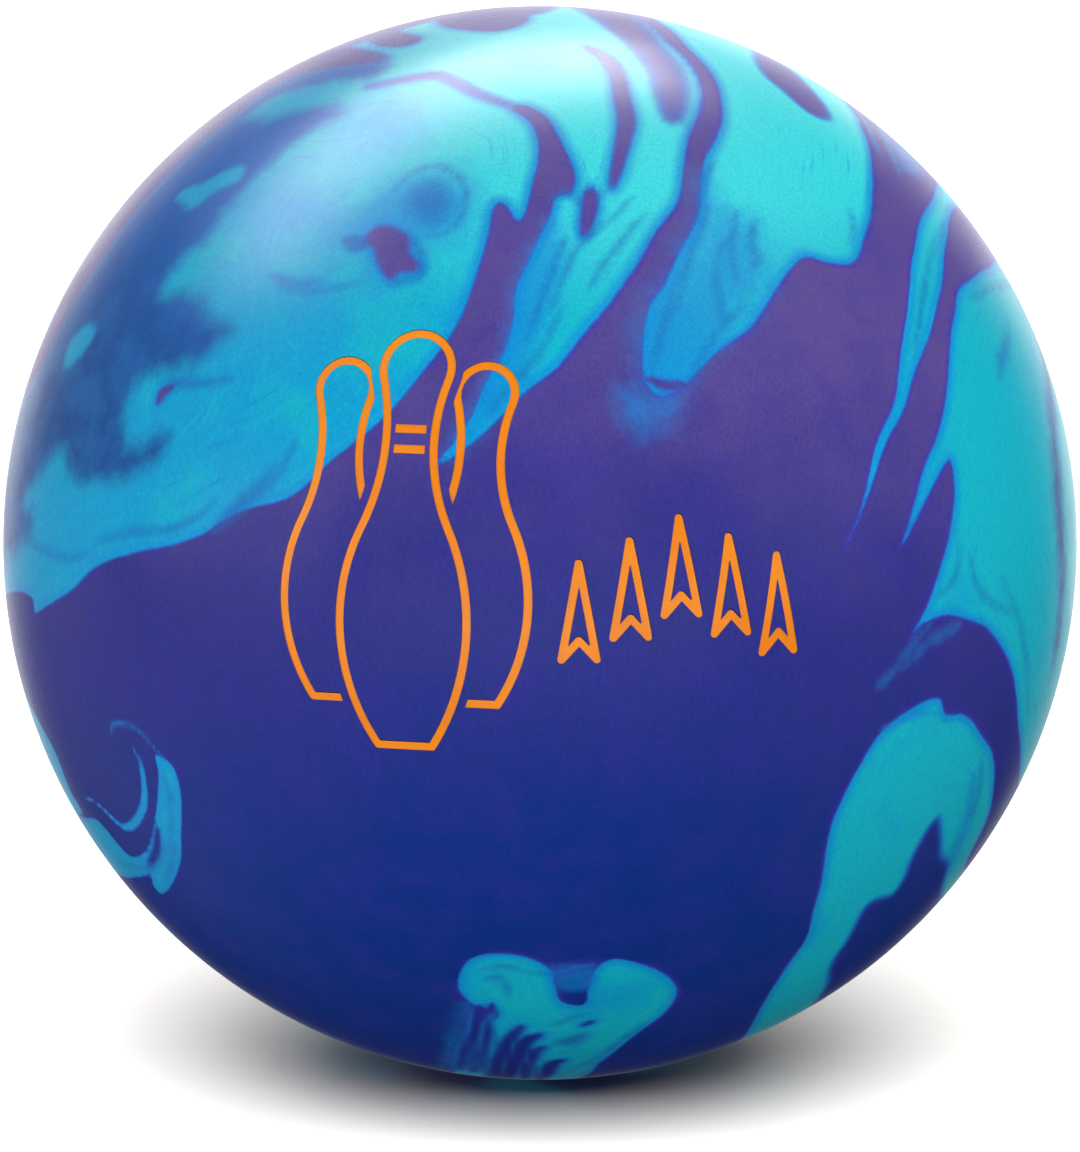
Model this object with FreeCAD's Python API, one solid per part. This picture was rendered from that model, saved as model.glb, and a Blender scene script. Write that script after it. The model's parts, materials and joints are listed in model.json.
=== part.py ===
"""Undrilled ten-pin bowling ball, built as it is cast: a weight block with its flip block, the filler moulded
round them, the locating pins that reach the surface, the coverstock, and the filled engravings.

Millimetres, +Z up. The origin is the centre of the ball, and the engraved front of the ball faces -Y.
Each function makes one sub-part, and main() writes one STEP file for each named node.
"""

import FreeCAD
import Part

import math
import os

from FreeCAD import Placement, Rotation, Vector

# ---- ball and coverstock -------------------------------------------------------------------------------
BALL_DIAMETER = 218.0  # the rules of the sport allow 215.9 to 218.3
COVER_THICKNESS = 19.0

# ---- weight block, a lightbulb shape with two flats, measured along its own axis -----------------------
BLOCK_END_MARGIN = 26.0  # filler beyond each end of the block
BULB_DIAMETER = 100.0
WAIST_DIAMETER = 54.0
FOOT_DIAMETER = 78.0
CROWN_DIAMETER = 46.0
FOOT_HEIGHT = 13.0
FOOT_TAPER_HEIGHT = 14.0
WAIST_HEIGHT = 8.0
FLARE_HEIGHT = 17.0
DOME_HEIGHT = 25.0
CROWN_HEIGHT = 9.0
FLAT_DISTANCE = 84.0  # across the two flats on the bulb
BLOCK_EDGE_RADIUS = 3.0

# ---- flip block, a dense bar that crosses the bulb and makes the ball asymmetric -----------------------
FLIP_OVERHANG = 11.0  # of each end beyond the bulb
FLIP_WIDTH = 34.0
FLIP_HEIGHT = 22.0
FLIP_EDGE_RADIUS = 5.0

# ---- pins that hold and mark the core, and the balance mark --------------------------------------------
CORE_PIN_DIAMETER = 12.7
CORE_PIN_SEAT = 14.0  # depth of its socket in the block's crown
LOCATOR_DIAMETER = 5.0
LOCATOR_SEAT = 7.0  # depth of its socket in the end of the flip block
MARK_DIAMETER = 3.2
MARK_ARC = 76.2  # along the surface, from the core pin to the balance mark
BALANCE_OFFSET = 0.8  # the core's own centre lies this far towards the balance mark

# ---- how the core lies in the ball, as turns about the ball's own axes ---------------------------------
CORE_HEADING = 18.0  # degrees about +Z
CORE_TILT = 52.0  # degrees from +Z towards the back of the ball
CORE_SPIN = 40.0  # degrees about the block's own axis

# ---- engravings ----------------------------------------------------------------------------------------
ENGRAVING_DEPTH = 0.9
FILL_RECESS = 0.15  # the fill's face lies this far below the ball's surface
LINE_WIDTH = 1.6
LINE_GAP = 1.5  # clear cover between one line and the next
EMBLEM_ELEVATION = 10.0  # degrees above the horizon
TENPIN_HEIGHT = 77.0
REAR_TENPIN_HEIGHT = 63.0
REAR_TENPIN_SIDESTEP = 13.5  # from the front pin's axis to a rear pin's
REAR_TENPIN_RISE = 8.5  # of a rear pin's base above the front pin's
TENPIN_RIGHT = -26.0  # along the surface, from the emblem's centre to the front pin's axis
STRIPE_THICKNESS = 1.6
STRIPE_PITCH = 3.8
STRIPE_GAP = 0.8  # clear cover between a stripe's end and the pin's outline
ARROW_COUNT = 5
ARROW_WIDTH = 6.6
ARROW_HEIGHT = 18.0
ARROW_NOTCH = 3.6
ARROW_STEP = 4.0  # of each arrow above the one outside it
ARROWS_UP = -13.0  # along the surface, from the emblem's centre to the lowest arrows' centres

# ---- regulation ten-pin, in inches ---------------------------------------------------------------------
TENPIN_FULL_HEIGHT = 15.0
TENPIN_FOOT_DIAMETER = 2.031
TENPIN_BELLY_DIAMETER = 4.766
TENPIN_BELLY_HEIGHT = 4.5
TENPIN_NECK_CURVE = 7.65  # radius of the hollow arc at the neck
TENPIN_HEAD_DIAMETER = 2.547

# ---- worked out from the sizes above -------------------------------------------------------------------
BALL_RADIUS = BALL_DIAMETER / 2
FILLER_RADIUS = BALL_RADIUS - COVER_THICKNESS
BLOCK_TOP = FILLER_RADIUS - BLOCK_END_MARGIN
BLOCK_BOTTOM = -BLOCK_TOP
FOOT_TOP = BLOCK_BOTTOM + FOOT_HEIGHT
WAIST_BOTTOM = FOOT_TOP + FOOT_TAPER_HEIGHT
WAIST_TOP = WAIST_BOTTOM + WAIST_HEIGHT
BULB_BOTTOM = WAIST_TOP + FLARE_HEIGHT
CROWN_BOTTOM = BLOCK_TOP - CROWN_HEIGHT
BULB_TOP = CROWN_BOTTOM - DOME_HEIGHT
FLIP_LEVEL = (BULB_BOTTOM + BULB_TOP) / 2
FLIP_HALF_LENGTH = BULB_DIAMETER / 2 + FLIP_OVERHANG
FLOOR_RADIUS = BALL_RADIUS - ENGRAVING_DEPTH
FILL_RADIUS = BALL_RADIUS - FILL_RECESS
RUN_OUT = 5.0  # how far a cutting tool runs past the surface it cuts

X_AXIS = Vector(1, 0, 0)
Y_AXIS = Vector(0, 1, 0)
Z_AXIS = Vector(0, 0, 1)
CENTRE = Vector(0, 0, 0)


def outline_wire(points):
    """A closed wire through points in the front view, given as (right, up)."""
    corners = [Vector(right, 0, up) for right, up in points]
    return Part.makePolygon(corners + corners[:1])


def sphere(radius):
    return Part.makeSphere(radius)


# ---- cast core -----------------------------------------------------------------------------------------
def block_blank():
    """The weight block's outer shape about its own axis, +Z towards the core pin, with nothing cut from it."""
    bulb, waist = BULB_DIAMETER / 2, WAIST_DIAMETER / 2
    foot, crown = FOOT_DIAMETER / 2, CROWN_DIAMETER / 2
    half_profile = [
        (0, BLOCK_BOTTOM),
        (foot, BLOCK_BOTTOM),
        (foot, FOOT_TOP),
        (waist, WAIST_BOTTOM),
        (waist, WAIST_TOP),
        (bulb, BULB_BOTTOM),
        (bulb, BULB_TOP),
        (crown, CROWN_BOTTOM),
        (crown, BLOCK_TOP),
        (0, BLOCK_TOP),
    ]
    turned = Part.Face(outline_wire(half_profile)).revolve(CENTRE, Z_AXIS, 360)
    blank = turned.common(centred_box(BALL_DIAMETER, FLAT_DISTANCE, BALL_DIAMETER, 0))
    sharp = [edge for edge in blank.Edges if len(blank.ancestorsOfType(edge, Part.Face)) == 2]
    return blank.makeFillet(BLOCK_EDGE_RADIUS, sharp)


def flip_bar():
    """The flip block about the weight block's axes, lying along X through the middle of the bulb."""
    bar = centred_box(2 * FLIP_HALF_LENGTH, FLIP_WIDTH, FLIP_HEIGHT, FLIP_LEVEL)
    return bar.makeFillet(FLIP_EDGE_RADIUS, bar.Edges)


def centred_box(length, width, height, level):
    """A box centred on the block's axis, with its middle at this level."""
    return Part.makeBox(length, width, height, Vector(-length / 2, -width / 2, level - height / 2))


def core_placement(core):
    """Turns the core as it lies in the ball, its centre just off the ball's, towards the balance mark."""
    turn = (
        Rotation(Z_AXIS, CORE_HEADING)
        * Rotation(X_AXIS, -CORE_TILT)
        * Rotation(Z_AXIS, CORE_SPIN)
    )
    centre = turn.multVec(core.Solids[0].CenterOfMass)
    return Placement(mark_direction(turn) * BALANCE_OFFSET - centre, turn)


def mark_direction(turn):
    """From the ball's centre to the balance mark, on the arc from the core pin towards the locator."""
    angle = MARK_ARC / BALL_RADIUS
    return turn.multVec(Vector(math.sin(angle), 0, math.cos(angle)))


def placed(shape, placement):
    moved = shape.copy()
    moved.Placement = placement.multiply(moved.Placement)
    return moved


def core_parts():
    """The cast core and its pins, which are still too long, and how the core is turned."""
    blank, bar = block_blank(), flip_bar()
    pin_seat = Vector(0, 0, BLOCK_TOP - CORE_PIN_SEAT)
    locator_seat = Vector(FLIP_HALF_LENGTH - LOCATOR_SEAT, 0, FLIP_LEVEL)
    core_pin = Part.makeCylinder(CORE_PIN_DIAMETER / 2, BALL_DIAMETER, pin_seat, Z_AXIS)
    locator = Part.makeCylinder(LOCATOR_DIAMETER / 2, BALL_DIAMETER, locator_seat, X_AXIS)
    envelope = blank.fuse(bar)
    shapes = {
        "envelope": envelope,
        "weight_block": blank.cut(bar).cut(core_pin),
        "flip_block": bar.cut(locator).cut(core_pin),
        "core_pin": core_pin,
        "locator_pin": locator,
    }
    placement = core_placement(envelope)
    return {name: placed(shape, placement) for name, shape in shapes.items()}, placement.Rotation


# ---- emblem, drawn in the front view as (right, up) about its own middle -------------------------------
def tenpin_circles():
    """The circles of a regulation pin's right side, each (centre's distance out, centre's height, radius)."""
    foot, belly = TENPIN_FOOT_DIAMETER / 2, TENPIN_BELLY_DIAMETER / 2
    inward = belly - foot
    belly_radius = (inward**2 + TENPIN_BELLY_HEIGHT**2) / (2 * inward)
    belly_out = belly - belly_radius
    head_radius = TENPIN_HEAD_DIAMETER / 2
    head_height = TENPIN_FULL_HEIGHT - head_radius
    # The neck's circle touches the other two, so its centre is this far from theirs.
    from_belly = belly_radius + TENPIN_NECK_CURVE
    from_head = head_radius + TENPIN_NECK_CURVE
    across, along = -belly_out, head_height - TENPIN_BELLY_HEIGHT
    apart = math.hypot(across, along)
    towards = (from_belly**2 - from_head**2 + apart**2) / (2 * apart)
    aside = math.sqrt(from_belly**2 - towards**2)
    neck_out = belly_out + (towards * across + aside * along) / apart
    neck_height = TENPIN_BELLY_HEIGHT + (towards * along - aside * across) / apart
    return {
        "belly": (belly_out, TENPIN_BELLY_HEIGHT, belly_radius),
        "neck": (neck_out, neck_height, TENPIN_NECK_CURVE),
        "head": (0, head_height, head_radius),
    }


def touching_point(circle, other):
    """Where two circles outside each other touch."""
    (out, up, radius), (other_out, other_up, other_radius) = circle, other
    share = radius / (radius + other_radius)
    return out + share * (other_out - out), up + share * (other_up - up)


def tenpin_wire(height, right, base):
    """The outline of a ten-pin of this height, with its axis at right and its foot at base."""
    circles = tenpin_circles()
    neck_out, neck_height, neck_radius = circles["neck"]
    foot = (TENPIN_FOOT_DIAMETER / 2, 0)
    belly = (TENPIN_BELLY_DIAMETER / 2, TENPIN_BELLY_HEIGHT)
    shoulder = touching_point(circles["belly"], circles["neck"])
    throat = (neck_out - neck_radius, neck_height)
    chin = touching_point(circles["head"], circles["neck"])
    scale = height / TENPIN_FULL_HEIGHT

    def arc(*places):
        corners = [Vector(right + across * scale, 0, base + up * scale) for across, up in places]
        return Part.Arc(*corners).toShape()

    edges = [arc(chin, (0, TENPIN_FULL_HEIGHT), (-chin[0], chin[1]))]
    for side in (1, -1):
        side_foot, side_belly, side_shoulder, side_throat, side_chin = (
            (side * across, up) for across, up in (foot, belly, shoulder, throat, chin)
        )
        edges.append(arc(side_foot, side_belly, side_shoulder))
        edges.append(arc(side_shoulder, side_throat, side_chin))
    half_foot = foot[0] * scale
    edges.append(Part.makeLine(Vector(right - half_foot, 0, base), Vector(right + half_foot, 0, base)))
    return Part.Wire(Part.__sortEdges__(edges))


def grown(wire, distance):
    """The face inside a wire once it has moved outwards by distance, or inwards if that is negative."""
    return Part.Face(wire.makeOffset2D(distance))


def line_along(wire):
    """The band that a line of the emblem's width covers along a closed wire."""
    return grown(wire, LINE_WIDTH / 2).cut(grown(wire, -LINE_WIDTH / 2))


def tenpin_lines():
    """The three pins' bands. The front pin hides what is behind it."""
    base = -TENPIN_HEIGHT / 2
    front = tenpin_wire(TENPIN_HEIGHT, 0, base)
    mask = grown(front, LINE_WIDTH / 2 + LINE_GAP)
    bands = {"emblem_tenpin_front": line_along(front)}
    for name, side in (("emblem_tenpin_left", -1), ("emblem_tenpin_right", 1)):
        wire = tenpin_wire(REAR_TENPIN_HEIGHT, side * REAR_TENPIN_SIDESTEP, base + REAR_TENPIN_RISE)
        bands[name] = line_along(wire).cut(mask)
    return bands


def stripe_bands():
    """The two stripes round the front pin's neck, clear of its outline."""
    scale = TENPIN_HEIGHT / TENPIN_FULL_HEIGHT
    neck_out, neck_height, neck_radius = tenpin_circles()["neck"]
    half = (neck_out - neck_radius) * scale - LINE_WIDTH / 2 - STRIPE_GAP
    neck = neck_height * scale - TENPIN_HEIGHT / 2
    bands = {}
    for name, side in (("emblem_stripe_lower", -1), ("emblem_stripe_upper", 1)):
        middle = neck + side * STRIPE_PITCH / 2
        low, high = middle - STRIPE_THICKNESS / 2, middle + STRIPE_THICKNESS / 2
        bands[name] = Part.Face(outline_wire([(-half, low), (half, low), (half, high), (-half, high)]))
    return bands


def arrow_wire():
    """A lane arrow, tip up, notched at the back."""
    half, tip = ARROW_WIDTH / 2, ARROW_HEIGHT / 2
    return outline_wire([(0, tip), (half, -tip), (0, ARROW_NOTCH - tip), (-half, -tip)])


def facing(right, up):
    """The turn from the front of the ball to a place this far along the surface from the emblem's centre."""
    heading = math.degrees(right / BALL_RADIUS)
    elevation = EMBLEM_ELEVATION + math.degrees(up / BALL_RADIUS)
    return Rotation(Z_AXIS, heading) * Rotation(X_AXIS, -elevation)


def engraved(faces, turn):
    """(fill, tools): what fills an engraving of these plan faces, and the solids that cut its grooves."""
    fills, tools = [], []
    for face in faces:
        box = face.BoundBox
        reach = max(math.hypot(x, z) for x in (box.XMin, box.XMax) for z in (box.ZMin, box.ZMax))
        inner = math.sqrt(FLOOR_RADIUS**2 - reach**2) - RUN_OUT
        outer = BALL_RADIUS + RUN_OUT
        tool = placed(face, Placement(Vector(0, -outer, 0), Rotation()))
        tool = tool.extrude(Vector(0, outer - inner, 0)).cut(sphere(FLOOR_RADIUS))
        tool = placed(tool, Placement(CENTRE, turn))
        fills += tool.common(sphere(FILL_RADIUS)).Solids
        tools += tool.Solids
    return Part.makeCompound(fills), tools


def emblem():
    """{node: (fill, tools)} for every line of the emblem."""
    pins = facing(TENPIN_RIGHT, 0)
    bands = {**tenpin_lines(), **stripe_bands()}
    made = {name: engraved(band.Faces, pins) for name, band in bands.items()}
    pitch = ARROW_WIDTH + LINE_WIDTH + LINE_GAP
    rear_belly = TENPIN_BELLY_DIAMETER * REAR_TENPIN_HEIGHT / TENPIN_FULL_HEIGHT
    first = TENPIN_RIGHT + REAR_TENPIN_SIDESTEP + rear_belly / 2 + pitch
    middle = (ARROW_COUNT - 1) / 2
    for number in range(ARROW_COUNT):
        up = ARROWS_UP + ARROW_STEP * (middle - abs(number - middle))
        turn = facing(first + number * pitch, up)
        made[f"emblem_arrow_{number + 1}"] = engraved(line_along(arrow_wire()).Faces, turn)
    return made


def balance_mark(core_turn):
    """(fill, tools) of the round mark over the ball's heaviest side."""
    disc = Part.Face(Part.Wire(Part.makeCircle(MARK_DIAMETER / 2, CENTRE, Y_AXIS)))
    return engraved([disc], Rotation(-Y_AXIS, mark_direction(core_turn)))


# ---- filler and coverstock -----------------------------------------------------------------------------
def filler(core):
    """The light filler moulded round the core and its pins."""
    body = sphere(FILLER_RADIUS).cut(core["envelope"])
    return body.cut(core["core_pin"]).cut(core["locator_pin"])


def coverstock(core, tools):
    """The outer shell, with the pins through it and the engravings cut into it."""
    shell = sphere(BALL_RADIUS).cut(sphere(FILLER_RADIUS))
    shell = shell.cut(core["core_pin"]).cut(core["locator_pin"])
    return shell.cut(Part.makeCompound(tools))


def main():
    core, core_turn = core_parts()
    engravings = {**emblem(), "balance_mark": balance_mark(core_turn)}
    tools = [tool for _, cutters in engravings.values() for tool in cutters]
    nodes = {
        "coverstock": coverstock(core, tools),
        "filler": filler(core),
        "weight_block": core["weight_block"],
        "flip_block": core["flip_block"],
        "core_pin": core["core_pin"].common(sphere(BALL_RADIUS)),
        "locator_pin": core["locator_pin"].common(sphere(BALL_RADIUS)),
    }
    nodes.update({name: fill for name, (fill, _) in engravings.items()})
    os.makedirs("parts", exist_ok=True)
    for name, shape in nodes.items():
        shape.exportStep(f"parts/{name}.step")
        print(f"{name}: {len(shape.Solids)} solid(s), {shape.Volume / 1000:.3f} cc, valid {shape.isValid()}")


main()
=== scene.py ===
"""The looks of the undrilled bowling ball: its swirled, sanded coverstock, engravings, core and studio.

The swirl is painted on the coverstock's mesh as distance fields. Each stroke of colour is an outline or a
line with a few given points, and the material turns the distances into edges, streaks and smoke.
Everything is in metres, in the part's own frame: +Z up, and the engraved front of the ball faces -Y.
"""

import json
import math

import bmesh
import bpy
import numpy as np
from mathutils import Matrix, Vector, noise

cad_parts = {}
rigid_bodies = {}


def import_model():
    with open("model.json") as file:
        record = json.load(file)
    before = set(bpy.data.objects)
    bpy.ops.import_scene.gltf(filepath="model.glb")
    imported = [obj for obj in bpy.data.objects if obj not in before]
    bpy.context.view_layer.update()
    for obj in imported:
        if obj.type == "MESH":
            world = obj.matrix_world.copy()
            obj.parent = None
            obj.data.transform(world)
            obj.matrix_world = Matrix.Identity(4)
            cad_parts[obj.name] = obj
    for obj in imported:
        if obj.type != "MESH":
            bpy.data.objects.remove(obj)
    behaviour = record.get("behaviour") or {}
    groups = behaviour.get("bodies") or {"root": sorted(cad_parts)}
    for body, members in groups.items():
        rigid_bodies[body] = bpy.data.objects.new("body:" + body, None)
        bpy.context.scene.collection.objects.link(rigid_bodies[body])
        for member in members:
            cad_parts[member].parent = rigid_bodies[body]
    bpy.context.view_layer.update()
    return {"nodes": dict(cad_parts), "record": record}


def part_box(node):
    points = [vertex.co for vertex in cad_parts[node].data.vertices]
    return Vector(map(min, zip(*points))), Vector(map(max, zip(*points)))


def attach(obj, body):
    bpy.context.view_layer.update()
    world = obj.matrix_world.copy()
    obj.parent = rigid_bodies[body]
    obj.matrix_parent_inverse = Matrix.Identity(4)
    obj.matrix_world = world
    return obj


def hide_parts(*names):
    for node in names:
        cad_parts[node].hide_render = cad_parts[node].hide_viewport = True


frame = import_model()

MM = 0.001

# ---- sizes from the frame ------------------------------------------------------------------------------
BALL_LOW, BALL_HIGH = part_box("coverstock")
BALL_RADIUS = (BALL_HIGH.z - BALL_LOW.z) / 2
FILLER_LOW, FILLER_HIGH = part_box("filler")
FILLER_RADIUS = (FILLER_HIGH.z - FILLER_LOW.z) / 2

# ---- camera --------------------------------------------------------------------------------------------
CAMERA_DISTANCE = 1.2
CAMERA_ELEVATION = 10.0
LENS = 184.0
SENSOR = 36.0
BALL_ABOVE_MIDDLE = 33 / 1152  # of the frame's height, how far the ball's centre is above the frame's

# ---- coverstock mesh -----------------------------------------------------------------------------------
SURFACE_STEPS = 116  # cells along each side of the cube that is blown up into the outer surface
CAVITY_STEPS = 24
FRONT_GATHERING = 1.6  # how much finer the cells are on the engraved side
PROBE_STEP = 1.0 * MM  # along the surface, for how steep the marbling is
CUT_RUN_OUT = 2 * MM

FRONT = (0.0, CAMERA_ELEVATION)  # heading and elevation that a set of strokes is drawn from

TEAL, BLUE, STREAK, DEEP, PURPLE = "teal", "blue", "streak", "deep", "purple"


# ---- swirl: strokes ------------------------------------------------------------------------------------
# Points are (right, up) in ball radii, as the outline of the ball looks from a stroke's own side. Past 1.0
# they go on round the back: 0.1 more is 9 degrees.
def area(colour, soft, points, side=FRONT):
    """A filled patch. Its edge fades over soft millimetres."""
    return {"colour": colour, "soft": soft, "points": points, "side": side, "width": None}


def line(colour, soft, width, points, side=FRONT):
    """A line, this many millimetres wide in the middle and tapered towards its ends."""
    return {"colour": colour, "soft": soft, "points": points, "side": side, "width": width}


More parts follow.
